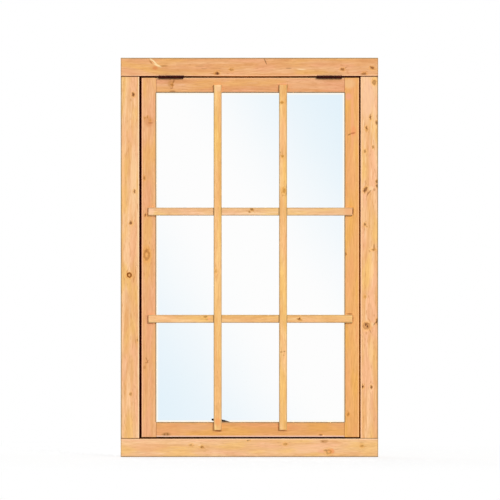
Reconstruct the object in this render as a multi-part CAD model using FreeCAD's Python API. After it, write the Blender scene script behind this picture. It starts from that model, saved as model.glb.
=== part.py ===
import FreeCAD, Part
import math
import os

# Top hung awning window in planed softwood, shown closed. All sizes are in millimetres.
# X runs to the right as seen from outside, Y runs from outside to inside and Z runs up.
# The origin is on the underside of the sill, at the middle of its width and of its depth.

# Outer frame
FRAME_WIDTH = 775.0
FRAME_HEIGHT = 1202.0
FRAME_DEPTH = 70.0
FRAME_FACE = 56.0            # face of head and sill, seen from outside
LEFT_JAMB_FACE = 56.5
RIGHT_JAMB_FACE = 53.5
STOP_OVERLAP = 10.0          # how far the stop covers the edge of the sash from inside
FRAME_TENON_LENGTH = 35.0    # jamb tenons in head and sill
FRAME_TENON_WIDTH = 30.0
FRAME_TENON_THICKNESS = 16.0

# Sash
SASH_GAP = 4.2               # running gap round a sash in the middle of its opening
SASH_SHIFT = 1.3             # how far to the right of that middle the sash hangs
SASH_FACE = 45.0             # face of stiles and rails
SASH_DEPTH = 40.0
SASH_TENON_LENGTH = 25.0     # rail tenons in the stiles
SASH_TENON_WIDTH = 20.0
SASH_TENON_THICKNESS = 13.0
ARRIS = 2.0                  # rounding of the long timber edges

# Glass and its beads
GLASS_LIP = 14.0             # timber in front of the glass
GLASS_REBATE = 12.0          # width of the glazing rebate
GLASS_THICKNESS = 4.0
GLASS_EDGE_GAP = 2.0         # room between the edge of the glass and the rebate
BEAD_DEPTH = 14.0
BEAD_CHAMFER = 5.0

# Glazing bars, planted on the outside of the glass
BAR_WIDTH = 24.0
BAR_PROUD = 8.0              # how far the bars stand in front of the sash
BAR_LAP = 24.0               # how far the bar ends lap over the sash
BAR_FIT = 0.3                # room between bars, and between a bar and the sash edge
TOP_ROW_EXTRA = 47.0         # the top row of panes is taller than the others by this much

# Butt hinges, let in flush in head and top rail
HINGE_LENGTH = 75.0
HINGE_INSET = 90.0           # from the side of the sash to the middle of a hinge
HINGE_STAND_OFF = 0.3        # room between the knuckles and the timber behind them
LEAF_DEPTH = 28.0
LEAF_THICKNESS = 2.7
KNUCKLES = 5
KNUCKLE_GAP = 0.3
PIN_FIT = 0.1                # play of the pin in the knuckles of the sash leaf
PIN_HEAD_HEIGHT = 0.8

# Casement stay on the inside of the bottom rail
STAY_TIP_X = -114.5
STAY_TIP_TOP = 9.4           # top of the handle above the sight line of the bottom rail
STAY_PIVOT_X = 150.0
STAY_WIDTH = 12.0
STAY_THICKNESS = 6.5
STAY_EYE_RADIUS = 8.5
STAY_UPPER_RADIUS = 138.0    # the two bends of the raised handle
STAY_LOWER_RADIUS = 100.0
STAY_FIT = 0.3
PEG_XS = (60.0, 110.0)
PEG_RADIUS = 4.0
PEG_HEIGHT = 18.0
PEG_CHAMFER = 2.0
PEG_COLLAR_RADIUS = 6.5
PEG_COLLAR_HEIGHT = 3.0
PEG_PLATE_LENGTH = 36.0
PEG_PLATE_WIDTH = 18.0
PEG_SCREW_SPACING = 26.0
PLATE_THICKNESS = 2.0
PLATE_CORNER = 3.0
BRACKET_WIDTH = 46.0
BRACKET_HEIGHT = 26.0
BRACKET_SCREW_SPACING = 31.0
SCREW_HOLE_RADIUS = 2.2
EAR_THICKNESS = 2.5
PIVOT_RADIUS = 3.0
PIVOT_HEAD_RADIUS = 5.0
PIVOT_HEAD_HEIGHT = 1.5

# Planes and lines that the pieces share
FRONT = -FRAME_DEPTH / 2                     # outer faces of frame and sash
BACK = FRAME_DEPTH / 2
STOP_FRONT = FRONT + SASH_DEPTH              # the sash closes against this plane
STOP_STEP = SASH_GAP + STOP_OVERLAP          # how far the stop reaches into the opening
STOP_EDGE = FRAME_FACE + STOP_STEP           # width of head and sill at their stops
OPENING_MIDDLE = (LEFT_JAMB_FACE - RIGHT_JAMB_FACE) / 2
SASH_MIDDLE = OPENING_MIDDLE + SASH_SHIFT    # sash pieces are made about x = 0 and moved here
SASH_SIDE = (FRAME_WIDTH - LEFT_JAMB_FACE - RIGHT_JAMB_FACE) / 2 - SASH_GAP
SASH_BOTTOM = FRAME_FACE + SASH_GAP
SASH_TOP = FRAME_HEIGHT - FRAME_FACE - SASH_GAP
SIGHT_SIDE = SASH_SIDE - SASH_FACE
SIGHT_BOTTOM = SASH_BOTTOM + SASH_FACE
SIGHT_TOP = SASH_TOP - SASH_FACE
GLASS_FRONT = FRONT + GLASS_LIP
GLASS_BACK = GLASS_FRONT + GLASS_THICKNESS
REBATE_SIDE = SIGHT_SIDE + GLASS_REBATE
REBATE_BOTTOM = SIGHT_BOTTOM - GLASS_REBATE
REBATE_TOP = SIGHT_TOP + GLASS_REBATE
BAR_FRONT = FRONT - BAR_PROUD
BAR_MIDDLE = (BAR_FRONT + GLASS_FRONT) / 2   # halving plane where two bars cross

X_AXIS = FreeCAD.Vector(1, 0, 0)
Y_AXIS = FreeCAD.Vector(0, 1, 0)
Z_AXIS = FreeCAD.Vector(0, 0, 1)


def block(x_span, y_span, z_span):
    """Rectangular solid between the two ends of each span."""
    low = FreeCAD.Vector(min(x_span), min(y_span), min(z_span))
    high = FreeCAD.Vector(max(x_span), max(y_span), max(z_span))
    size = high - low
    return Part.makeBox(size.x, size.y, size.z, low)


def rounded_face(corners):
    """Flat face through (point, radius) corners; a radius of 0 leaves a corner sharp."""
    edges = []
    starts = []
    ends = []
    middles = []
    for index, (point, radius) in enumerate(corners):
        before = (corners[index - 1][0] - point).normalize()
        after = (corners[(index + 1) % len(corners)][0] - point).normalize()
        half_angle = before.getAngle(after) / 2
        reach = radius / math.tan(half_angle)
        inward = (before + after).normalize()
        starts.append(point + before * reach)
        ends.append(point + after * reach)
        middles.append(point + inward * (radius / math.sin(half_angle) - radius))
    for index, (point, radius) in enumerate(corners):
        edges.append(Part.makeLine(ends[index - 1], starts[index]))
        if radius > 0:
            edges.append(Part.Arc(starts[index], middles[index], ends[index]).toShape())
    return Part.Face(Part.Wire(edges))


def turned(outline):
    """Solid turned about Z from an outline of (radius, height) points."""
    corners = [(FreeCAD.Vector(radius, 0, height), 0) for radius, height in outline]
    return rounded_face(corners).revolve(FreeCAD.Vector(0, 0, 0), Z_AXIS, 360)


def frame_section(place, face):
    """Rebated frame section of that face; place turns (distance from the outer edge, y) into a point."""
    stop_edge = face + STOP_STEP
    return rounded_face([
        (place(0, FRONT), ARRIS),
        (place(0, BACK), ARRIS),
        (place(stop_edge, BACK), ARRIS),
        (place(stop_edge, STOP_FRONT), 0),
        (place(face, STOP_FRONT), 0),
        (place(face, FRONT), ARRIS),
    ])


def sash_section(place):
    """Sash section with its glazing rebate on the inside; place works as in frame_section."""
    rebate_edge = SASH_FACE - GLASS_REBATE
    return rounded_face([
        (place(0, FRONT), ARRIS),
        (place(0, STOP_FRONT), ARRIS),
        (place(rebate_edge, STOP_FRONT), ARRIS),
        (place(rebate_edge, GLASS_FRONT), 0),
        (place(SASH_FACE, GLASS_FRONT), 0),
        (place(SASH_FACE, FRONT), ARRIS),
    ])


def frame_tenons(side):
    """Tenons at both ends of a jamb; side is -1 for the left jamb and 1 for the right one."""
    middle_x = side * (FRAME_WIDTH / 2 - FRAME_FACE / 2)
    middle_y = (FRONT + BACK) / 2
    x_span = (middle_x - FRAME_TENON_WIDTH / 2, middle_x + FRAME_TENON_WIDTH / 2)
    y_span = (middle_y - FRAME_TENON_THICKNESS / 2, middle_y + FRAME_TENON_THICKNESS / 2)
    foot = block(x_span, y_span, (FRAME_FACE - FRAME_TENON_LENGTH, STOP_EDGE))
    head_line = FRAME_HEIGHT - FRAME_FACE
    top = block(x_span, y_span, (FRAME_HEIGHT - STOP_EDGE, head_line + FRAME_TENON_LENGTH))
    return foot, top


def make_frame_crosspiece(place):
    """Head or sill: the frame section right across the window, mortised for the jambs."""
    member = frame_section(place, FRAME_FACE).extrude(X_AXIS * FRAME_WIDTH)
    for side in (-1, 1):
        for tenon in frame_tenons(side):
            member = member.cut(tenon)
    return member


def make_jamb(side):
    """Jamb between head and sill, its stop scribed to theirs, with a tenon at each end."""
    def place(distance, y):
        return FreeCAD.Vector(side * (FRAME_WIDTH / 2 - distance), y, FRAME_FACE)
    face = LEFT_JAMB_FACE if side < 0 else RIGHT_JAMB_FACE
    length = FRAME_HEIGHT - 2 * FRAME_FACE
    jamb = frame_section(place, face).extrude(Z_AXIS * length)
    across = (-FRAME_WIDTH, FRAME_WIDTH)
    stop_depth = (STOP_FRONT, BACK)
    jamb = jamb.cut(block(across, stop_depth, (FRAME_FACE, STOP_EDGE)))
    jamb = jamb.cut(block(across, stop_depth, (FRAME_HEIGHT - STOP_EDGE, FRAME_HEIGHT - FRAME_FACE)))
    for tenon in frame_tenons(side):
        jamb = jamb.fuse(tenon)
    return jamb.removeSplitter()


def sash_tenons(middle_z):
    """Tenons at both ends of the rail whose tenons are centred on middle_z."""
    middle_y = (GLASS_FRONT + STOP_FRONT) / 2
    y_span = (middle_y - SASH_TENON_THICKNESS / 2, middle_y + SASH_TENON_THICKNESS / 2)
    z_span = (middle_z - SASH_TENON_WIDTH / 2, middle_z + SASH_TENON_WIDTH / 2)
    left = block((-REBATE_SIDE - SASH_TENON_LENGTH, -REBATE_SIDE), y_span, z_span)
    right = block((REBATE_SIDE, REBATE_SIDE + SASH_TENON_LENGTH), y_span, z_span)
    return left, right


def tenon_lines():
    """Heights of the tenons of the bottom and top rail, in the timber outside the rebate."""
    inset = (SASH_FACE - GLASS_REBATE) / 2
    return SASH_BOTTOM + inset, SASH_TOP - inset


def make_stile(side):
    """Stile over the full height of the sash, mortised for both rails."""
    def place(distance, y):
        return FreeCAD.Vector(side * (SASH_SIDE - distance), y, SASH_BOTTOM)
    stile = sash_section(place).extrude(Z_AXIS * (SASH_TOP - SASH_BOTTOM))
    for middle_z in tenon_lines():
        for tenon in sash_tenons(middle_z):
            stile = stile.cut(tenon)
    return stile


def make_rail(outer_z, inward, middle_z):
    """Rail between the stiles, with ends scribed to their rebate and a tenon at each end."""
    def place(distance, y):
        return FreeCAD.Vector(-REBATE_SIDE, y, outer_z + inward * distance)
    rail = sash_section(place).extrude(X_AXIS * 2 * REBATE_SIDE)
    lip_depth = (FRONT, GLASS_FRONT)
    heights = (SASH_BOTTOM, SASH_TOP)
    rail = rail.cut(block((-REBATE_SIDE, -SIGHT_SIDE), lip_depth, heights))
    rail = rail.cut(block((SIGHT_SIDE, REBATE_SIDE), lip_depth, heights))
    for tenon in sash_tenons(middle_z):
        rail = rail.fuse(tenon)
    return rail.removeSplitter()


def make_glass():
    """One sheet of glass behind all the bars."""
    side = REBATE_SIDE - GLASS_EDGE_GAP
    heights = (REBATE_BOTTOM + GLASS_EDGE_GAP, REBATE_TOP - GLASS_EDGE_GAP)
    return block((-side, side), (GLASS_FRONT, GLASS_BACK), heights)


def bead_run(place, run):
    """Chamfered bead section drawn out along run; place works as in frame_section."""
    bead_back = GLASS_BACK + BEAD_DEPTH
    section = rounded_face([
        (place(0, GLASS_BACK), 0),
        (place(0, bead_back), 0),
        (place(GLASS_REBATE - BEAD_CHAMFER, bead_back), 0),
        (place(GLASS_REBATE, bead_back - BEAD_CHAMFER), 0),
        (place(GLASS_REBATE, GLASS_BACK), 0),
    ])
    return section.extrude(run)


def mitre_prism(outer_start, outer_end, inner_end, inner_start):
    """Solid through the wall of the sash over a bead's plan, with its two mitred ends."""
    corners = [(FreeCAD.Vector(x, FRONT, z), 0) for x, z in (outer_start, outer_end, inner_end, inner_start)]
    return rounded_face(corners).extrude(Y_AXIS * FRAME_DEPTH)


def make_beads():
    """Four glazing beads, mitred at the corners, by name."""
    low_left = (-REBATE_SIDE, REBATE_BOTTOM)
    low_right = (REBATE_SIDE, REBATE_BOTTOM)
    high_left = (-REBATE_SIDE, REBATE_TOP)
    high_right = (REBATE_SIDE, REBATE_TOP)
    sight_low_left = (-SIGHT_SIDE, SIGHT_BOTTOM)
    sight_low_right = (SIGHT_SIDE, SIGHT_BOTTOM)
    sight_high_left = (-SIGHT_SIDE, SIGHT_TOP)
    sight_high_right = (SIGHT_SIDE, SIGHT_TOP)
    across = X_AXIS * 2 * REBATE_SIDE
    upright = Z_AXIS * (REBATE_TOP - REBATE_BOTTOM)
    runs = {
        "bottom": bead_run(lambda d, y: FreeCAD.Vector(-REBATE_SIDE, y, REBATE_BOTTOM + d), across),
        "top": bead_run(lambda d, y: FreeCAD.Vector(-REBATE_SIDE, y, REBATE_TOP - d), across),
        "left": bead_run(lambda d, y: FreeCAD.Vector(-REBATE_SIDE + d, y, REBATE_BOTTOM), upright),
        "right": bead_run(lambda d, y: FreeCAD.Vector(REBATE_SIDE - d, y, REBATE_BOTTOM), upright),
    }
    plans = {
        "bottom": mitre_prism(low_left, low_right, sight_low_right, sight_low_left),
        "top": mitre_prism(high_left, high_right, sight_high_right, sight_high_left),
        "left": mitre_prism(low_left, high_left, sight_high_left, sight_low_left),
        "right": mitre_prism(low_right, high_right, sight_high_right, sight_low_right),
    }
    return {name: runs[name].common(plans[name]) for name in runs}


def vertical_bar_lines():
    """Middle lines of the vertical bars, which part the glass into three equal columns."""
    pane_width = (2 * SIGHT_SIDE - 2 * BAR_WIDTH) / 3
    offset = (pane_width + BAR_WIDTH) / 2
    return {"left": -offset, "right": offset}


def horizontal_bar_lines():
    """Middle lines of the horizontal bars: two equal rows and a taller one at the top."""
    pane_height = (SIGHT_TOP - SIGHT_BOTTOM - 2 * BAR_WIDTH - TOP_ROW_EXTRA) / 3
    lower = SIGHT_BOTTOM + pane_height + BAR_WIDTH / 2
    return {"lower": lower, "upper": lower + pane_height + BAR_WIDTH}


def eased_bar(x_span, z_span):
    """Square bar from the glass to its face, with the edges of its face rounded."""
    bar = block(x_span, (BAR_FRONT, GLASS_FRONT), z_span)
    face_edges = [edge for edge in bar.Edges if edge.BoundBox.YMax < BAR_MIDDLE]
    return bar.makeFillet(ARRIS, face_edges)


def make_vertical_bar(middle_x):
    """Vertical bar, lapped over both rails and halved at the back over the horizontal bars."""
    x_span = (middle_x - BAR_WIDTH / 2, middle_x + BAR_WIDTH / 2)
    foot = SIGHT_BOTTOM - BAR_LAP
    top = SIGHT_TOP + BAR_LAP
    bar = eased_bar(x_span, (foot, top))
    lap_depth = (FRONT, GLASS_FRONT)
    bar = bar.cut(block(x_span, lap_depth, (foot, SIGHT_BOTTOM + BAR_FIT)))
    bar = bar.cut(block(x_span, lap_depth, (SIGHT_TOP - BAR_FIT, top)))
    for middle_z in horizontal_bar_lines().values():
        reach = BAR_WIDTH / 2 + BAR_FIT
        bar = bar.cut(block(x_span, (BAR_MIDDLE, GLASS_FRONT), (middle_z - reach, middle_z + reach)))
    return bar


def make_horizontal_bar(middle_z):
    """Horizontal bar, lapped over both stiles and halved at the front under the vertical bars."""
    z_span = (middle_z - BAR_WIDTH / 2, middle_z + BAR_WIDTH / 2)
    end = SIGHT_SIDE + BAR_LAP
    bar = eased_bar((-end, end), z_span)
    lap_depth = (FRONT, GLASS_FRONT)
    bar = bar.cut(block((-end, -SIGHT_SIDE + BAR_FIT), lap_depth, z_span))
    bar = bar.cut(block((SIGHT_SIDE - BAR_FIT, end), lap_depth, z_span))
    for middle_x in vertical_bar_lines().values():
        reach = BAR_WIDTH / 2 + BAR_FIT
        bar = bar.cut(block((middle_x - reach, middle_x + reach), (BAR_FRONT, BAR_MIDDLE), z_span))
    return bar


HINGE_PIN_RADIUS = SASH_GAP / 2              # leaves let in flush leave the pin's width between them
KNUCKLE_RADIUS = HINGE_PIN_RADIUS + LEAF_THICKNESS
HINGE_Y = FRONT - HINGE_STAND_OFF - KNUCKLE_RADIUS
HINGE_Z = SASH_TOP + SASH_GAP / 2
HINGE_OFFSET = SASH_SIDE - HINGE_INSET
HINGE_MIDDLES = {"left": SASH_MIDDLE - HINGE_OFFSET, "right": SASH_MIDDLE + HINGE_OFFSET}


def hinge_cylinder(start_x, radius, length):
    """Cylinder on the axis of the hinge pins."""
    return Part.makeCylinder(radius, length, FreeCAD.Vector(start_x, HINGE_Y, HINGE_Z), X_AXIS)


def leaf_plate(middle_x, side):
    """Flat of a leaf, tangent to its knuckles; side is 1 for the frame leaf and -1 for the sash leaf."""
    x_span = (middle_x - HINGE_LENGTH / 2, middle_x + HINGE_LENGTH / 2)
    z_span = (HINGE_Z + side * HINGE_PIN_RADIUS, HINGE_Z + side * KNUCKLE_RADIUS)
    return block(x_span, (HINGE_Y, FRONT + LEAF_DEPTH), z_span)


def make_leaf(middle_x, side):
    """Leaf with its own knuckles rolled round the pin, and slots for those of the other leaf."""
    start_x = middle_x - HINGE_LENGTH / 2
    pitch = HINGE_LENGTH / KNUCKLES
    bore = HINGE_PIN_RADIUS if side > 0 else HINGE_PIN_RADIUS + PIN_FIT
    leaf = leaf_plate(middle_x, side).fuse(hinge_cylinder(start_x, KNUCKLE_RADIUS, HINGE_LENGTH))
    leaf = leaf.cut(hinge_cylinder(start_x, bore, HINGE_LENGTH))
    first_slot = 1 if side > 0 else 0
    for number in range(first_slot, KNUCKLES, 2):
        slot_start = start_x + number * pitch - (KNUCKLE_GAP / 2 if number > 0 else 0)
        slot_end = start_x + (number + 1) * pitch + (KNUCKLE_GAP / 2 if number < KNUCKLES - 1 else 0)
        y_span = (HINGE_Y - KNUCKLE_RADIUS, FRONT)
        z_span = (HINGE_Z - KNUCKLE_RADIUS, HINGE_Z + KNUCKLE_RADIUS)
        leaf = leaf.cut(block((slot_start, slot_end), y_span, z_span))
    return leaf.removeSplitter()


def make_hinge_pin(middle_x):
    """Hinge pin with a low coned head at each end of the knuckles."""
    half = HINGE_LENGTH / 2
    tip = half + PIN_HEAD_HEIGHT
    pin = turned([
        (0, -tip), (HINGE_PIN_RADIUS, -tip), (KNUCKLE_RADIUS, -half), (HINGE_PIN_RADIUS, -half),
        (HINGE_PIN_RADIUS, half), (KNUCKLE_RADIUS, half), (HINGE_PIN_RADIUS, tip), (0, tip),
    ])
    pin.rotate(FreeCAD.Vector(0, 0, 0), Y_AXIS, 90)
    pin.translate(FreeCAD.Vector(middle_x, HINGE_Y, HINGE_Z))
    return pin


STAY_Y = (STOP_FRONT + BACK) / 2             # the arm lies over the middle of the sill's stop
STAY_SEAT = STOP_EDGE                        # top of the sill's stop
STAY_BOTTOM = STAY_SEAT + PLATE_THICKNESS + PEG_COLLAR_HEIGHT
STAY_MIDDLE = STAY_BOTTOM + STAY_THICKNESS / 2
STAY_TOP = STAY_BOTTOM + STAY_THICKNESS


def bend(centre, radius, start_degrees, end_degrees):
    """Arc in the upright plane of the stay arm."""
    def at(degrees):
        angle = math.radians(degrees)
        return centre + FreeCAD.Vector(radius * math.cos(angle), 0, radius * math.sin(angle))
    middle = (start_degrees + end_degrees) / 2
    return Part.Arc(at(start_degrees), at(middle), at(end_degrees)).toShape()


def stay_side_view():
    """Side view of the arm: level over the pegs, then bent up and level again at the handle."""
    half = STAY_THICKNESS / 2
    y = STAY_Y - STAY_WIDTH / 2
    tip = FreeCAD.Vector(STAY_TIP_X + half, y, SIGHT_BOTTOM + STAY_TIP_TOP - half)
    rise = tip.z - STAY_MIDDLE
    radii = STAY_UPPER_RADIUS + STAY_LOWER_RADIUS
    turn = math.degrees(math.acos(1 - rise / radii))
    bend_start = tip.x + radii * math.sin(math.radians(turn))
    upper_centre = tip - Z_AXIS * STAY_UPPER_RADIUS
    lower_centre = FreeCAD.Vector(bend_start, y, STAY_MIDDLE + STAY_LOWER_RADIUS)
    pivot_low = FreeCAD.Vector(STAY_PIVOT_X, y, STAY_BOTTOM)
    pivot_high = FreeCAD.Vector(STAY_PIVOT_X, y, STAY_TOP)
    edges = [
        Part.makeLine(pivot_high, pivot_low),
        Part.makeLine(pivot_low, FreeCAD.Vector(bend_start, y, STAY_BOTTOM)),
        bend(lower_centre, STAY_LOWER_RADIUS + half, 270, 270 - turn),
        bend(upper_centre, STAY_UPPER_RADIUS - half, 90 - turn, 90),
        bend(tip, half, 270, 90),
        bend(upper_centre, STAY_UPPER_RADIUS + half, 90, 90 - turn),
        bend(lower_centre, STAY_LOWER_RADIUS - half, 270 - turn, 270),
        Part.makeLine(FreeCAD.Vector(bend_start, y, STAY_TOP), pivot_high),
    ]
    return Part.Face(Part.Wire(edges))


def upright_cylinder(x, radius, z_span):
    """Upright cylinder on the middle line of the stay."""
    return Part.makeCylinder(radius, z_span[1] - z_span[0], FreeCAD.Vector(x, STAY_Y, z_span[0]))


def make_stay_arm():
    """Stay arm with its pivot eye and the holes that drop over the pegs."""
    arm = stay_side_view().extrude(Y_AXIS * STAY_WIDTH)
    thickness = (STAY_BOTTOM, STAY_TOP)
    arm = arm.fuse(upright_cylinder(STAY_PIVOT_X, STAY_EYE_RADIUS, thickness))
    arm = arm.cut(upright_cylinder(STAY_PIVOT_X, PIVOT_RADIUS + STAY_FIT, thickness))
    for peg_x in PEG_XS:
        arm = arm.cut(upright_cylinder(peg_x, PEG_RADIUS + STAY_FIT, thickness))
    return arm.removeSplitter()


def plate_corners(place, length, width):
    """Corners of a round-cornered plate about its middle; place turns (along, across) into a point."""
    signs = ((-1, -1), (1, -1), (1, 1), (-1, 1))
    return [(place(along * length / 2, across * width / 2), PLATE_CORNER) for along, across in signs]


def make_peg(peg_x):
    """Chamfered peg with a collar, on a plate that is screwed to the sill's stop."""
    collar_top = PLATE_THICKNESS + PEG_COLLAR_HEIGHT
    top = PLATE_THICKNESS + PEG_HEIGHT
    peg = turned([
        (0, 0), (PEG_COLLAR_RADIUS, 0), (PEG_COLLAR_RADIUS, collar_top), (PEG_RADIUS, collar_top),
        (PEG_RADIUS, top - PEG_CHAMFER), (PEG_RADIUS - PEG_CHAMFER, top), (0, top),
    ])
    corners = plate_corners(lambda x, y: FreeCAD.Vector(x, y, 0), PEG_PLATE_LENGTH, PEG_PLATE_WIDTH)
    peg = peg.fuse(rounded_face(corners).extrude(Z_AXIS * PLATE_THICKNESS))
    for side in (-1, 1):
        hole_foot = FreeCAD.Vector(side * PEG_SCREW_SPACING / 2, 0, 0)
        peg = peg.cut(Part.makeCylinder(SCREW_HOLE_RADIUS, PLATE_THICKNESS, hole_foot))
    peg = peg.removeSplitter()
    peg.translate(FreeCAD.Vector(peg_x, STAY_Y, STAY_SEAT))
    return peg


def bracket_ear(bottom):
    """Level ear of the bracket, rounded about the pivot."""
    top = bottom + EAR_THICKNESS
    x_span = (STAY_PIVOT_X - STAY_EYE_RADIUS, STAY_PIVOT_X + STAY_EYE_RADIUS)
    ear = block(x_span, (STOP_FRONT, STAY_Y), (bottom, top))
    ear = ear.fuse(upright_cylinder(STAY_PIVOT_X, STAY_EYE_RADIUS, (bottom, top)))
    return ear.cut(upright_cylinder(STAY_PIVOT_X, PIVOT_RADIUS, (bottom, top)))


EAR_BOTTOMS = (STAY_BOTTOM - STAY_FIT - EAR_THICKNESS, STAY_TOP + STAY_FIT)


def make_bracket():
    """Bracket screwed to the inside of the bottom rail, with two ears that hold the arm's eye."""
    middle_z = EAR_BOTTOMS[0] + BRACKET_HEIGHT / 2
    middle = FreeCAD.Vector(STAY_PIVOT_X, STOP_FRONT, middle_z)
    corners = plate_corners(lambda x, z: middle + FreeCAD.Vector(x, 0, z), BRACKET_WIDTH, BRACKET_HEIGHT)
    bracket = rounded_face(corners).extrude(Y_AXIS * PLATE_THICKNESS)
    for ear_bottom in EAR_BOTTOMS:
        bracket = bracket.fuse(bracket_ear(ear_bottom))
    for side in (-1, 1):
        hole_foot = middle + X_AXIS * (side * BRACKET_SCREW_SPACING / 2)
        bracket = bracket.cut(Part.makeCylinder(SCREW_HOLE_RADIUS, PLATE_THICKNESS, hole_foot, Y_AXIS))
    return bracket.removeSplitter()


def make_pivot():
    """Rivet through the bracket's ears and the arm's eye, with a flat head at each end."""
    low = EAR_BOTTOMS[0]
    high = EAR_BOTTOMS[1] + EAR_THICKNESS
    head_low = low - PIVOT_HEAD_HEIGHT
    head_high = high + PIVOT_HEAD_HEIGHT
    pivot = turned([
        (0, head_low), (PIVOT_HEAD_RADIUS, head_low), (PIVOT_HEAD_RADIUS, low), (PIVOT_RADIUS, low),
        (PIVOT_RADIUS, high), (PIVOT_HEAD_RADIUS, high), (PIVOT_HEAD_RADIUS, head_high), (0, head_high),
    ])
    pivot.translate(FreeCAD.Vector(STAY_PIVOT_X, STAY_Y, 0))
    return pivot


def hung(piece):
    """Sash piece, moved to where the sash hangs in the frame."""
    piece.translate(X_AXIS * SASH_MIDDLE)
    return piece


def make_window():
    """All pieces by node name."""
    bottom_line, top_line = tenon_lines()
    left_edge = -FRAME_WIDTH / 2
    head = make_frame_crosspiece(lambda d, y: FreeCAD.Vector(left_edge, y, FRAME_HEIGHT - d))
    top_rail = hung(make_rail(SASH_TOP, -1, top_line))
    pieces = {}
    for name, middle_x in HINGE_MIDDLES.items():
        head = head.cut(leaf_plate(middle_x, 1))
        top_rail = top_rail.cut(leaf_plate(middle_x, -1))
        pieces[f"hinge_{name}_frame_leaf"] = make_leaf(middle_x, 1)
        pieces[f"hinge_{name}_sash_leaf"] = make_leaf(middle_x, -1)
        pieces[f"hinge_{name}_pin"] = make_hinge_pin(middle_x)
    pieces["frame_head"] = head
    pieces["frame_sill"] = make_frame_crosspiece(lambda d, y: FreeCAD.Vector(left_edge, y, d))
    pieces["sash_top_rail"] = top_rail
    pieces["sash_bottom_rail"] = hung(make_rail(SASH_BOTTOM, 1, bottom_line))
    for name, side in (("left", -1), ("right", 1)):
        pieces[f"frame_{name}_jamb"] = make_jamb(side)
        pieces[f"sash_{name}_stile"] = hung(make_stile(side))
    pieces["glass_pane"] = hung(make_glass())
    for name, bead in make_beads().items():
        pieces[f"glazing_bead_{name}"] = hung(bead)
    for name, middle_x in vertical_bar_lines().items():
        pieces[f"bar_vertical_{name}"] = hung(make_vertical_bar(middle_x))
    for name, middle_z in horizontal_bar_lines().items():
        pieces[f"bar_horizontal_{name}"] = hung(make_horizontal_bar(middle_z))
    pieces["stay_arm"] = make_stay_arm()
    pieces["stay_bracket"] = make_bracket()
    pieces["stay_pivot"] = make_pivot()
    for name, peg_x in zip(("left", "right"), PEG_XS):
        pieces[f"stay_peg_{name}"] = make_peg(peg_x)
    return pieces


os.makedirs("parts", exist_ok=True)
for node, shape in make_window().items():
    shape.exportStep(f"parts/{node}.step")
    print(f"{node}: {len(shape.Solids)} solid, {shape.Volume / 1000:.1f} cm3, valid {shape.isValid()}")
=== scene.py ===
# %% [markdown]
# # A top hung awning window in pine
#
# The window is a pine frame with one sash in it. Two butt hinges at the head carry the sash,
# so its foot swings outwards, and a black stay inside holds it shut. A grid of flat bars lies
# over one sheet of glass. The solids are already built to size, so this lesson loads them and
# spends its effort on what they are made of: timber, glass, coated steel and black iron.

# %% Load the packed window
import math

import bmesh
import bpy
from mathutils import Matrix, Vector


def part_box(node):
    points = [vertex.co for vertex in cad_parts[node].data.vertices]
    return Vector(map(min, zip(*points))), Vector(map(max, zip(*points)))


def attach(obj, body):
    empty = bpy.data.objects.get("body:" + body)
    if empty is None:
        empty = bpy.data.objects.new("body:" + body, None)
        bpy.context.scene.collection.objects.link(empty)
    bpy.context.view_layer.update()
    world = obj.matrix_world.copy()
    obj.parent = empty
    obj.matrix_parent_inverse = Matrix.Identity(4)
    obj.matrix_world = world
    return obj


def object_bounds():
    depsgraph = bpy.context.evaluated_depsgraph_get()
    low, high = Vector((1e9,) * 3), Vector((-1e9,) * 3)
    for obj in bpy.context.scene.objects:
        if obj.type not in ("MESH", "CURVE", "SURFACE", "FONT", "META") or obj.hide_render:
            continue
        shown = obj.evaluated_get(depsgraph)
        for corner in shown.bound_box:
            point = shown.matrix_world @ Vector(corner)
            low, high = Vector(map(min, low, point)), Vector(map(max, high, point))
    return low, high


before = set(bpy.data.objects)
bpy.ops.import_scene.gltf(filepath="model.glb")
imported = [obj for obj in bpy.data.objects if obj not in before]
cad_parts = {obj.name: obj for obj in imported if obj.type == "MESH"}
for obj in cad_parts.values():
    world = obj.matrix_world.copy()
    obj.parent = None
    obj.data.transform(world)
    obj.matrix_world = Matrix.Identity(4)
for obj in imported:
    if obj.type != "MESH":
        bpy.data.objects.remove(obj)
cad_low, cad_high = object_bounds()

print("nodes loaded:", len(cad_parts))
print("size in metres:", [round(side, 4) for side in cad_high - cad_low])

# %% [markdown]
# ## The camera
#
# The photograph looks squarely at the outside of the window from far off: the uprights stay
# upright, the rails level, and no inner edge shows beside the glass. An orthographic camera could
# do that, but a very long lens is what a photographer would use, and it keeps a trace of
# perspective. The photograph spans about one and a half metres at the window's face, which fixes
# the lens once the distance is chosen.

# %% Place the camera
PHOTO_SPAN = 1.5052
CAMERA_DISTANCE = 20.0
SENSOR_WIDTH = 36.0
FACE_Y = -0.035
AIM = Vector((0.0017, FACE_Y, 0.6233))


def placed(name, data):
    """A new object in the scene."""
    made = bpy.data.objects.new(name, data)
    bpy.context.scene.collection.objects.link(made)
    return made


camera_data = bpy.data.cameras.new("camera")
camera_data.sensor_width = SENSOR_WIDTH
camera_data.lens = SENSOR_WIDTH * CAMERA_DISTANCE / PHOTO_SPAN
camera = placed("camera", camera_data)
camera.location = AIM - CAMERA_DISTANCE * Vector((0, 1, 0))
camera.rotation_euler = (math.pi / 2, 0, 0)
bpy.context.scene.camera = camera
bpy.context.scene.view_settings.view_transform = "Standard"
print("lens in millimetres:", round(camera_data.lens, 1))

# %% [markdown]
# ## Sums on shader sockets
#
# A finish is a network of nodes, and most of the nodes only do arithmetic. Placing each one by
# hand hides the idea behind it. The small class below wraps a socket, so that a line such as
# `1 - mask` reads like a sum and adds the Math node by itself.

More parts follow.
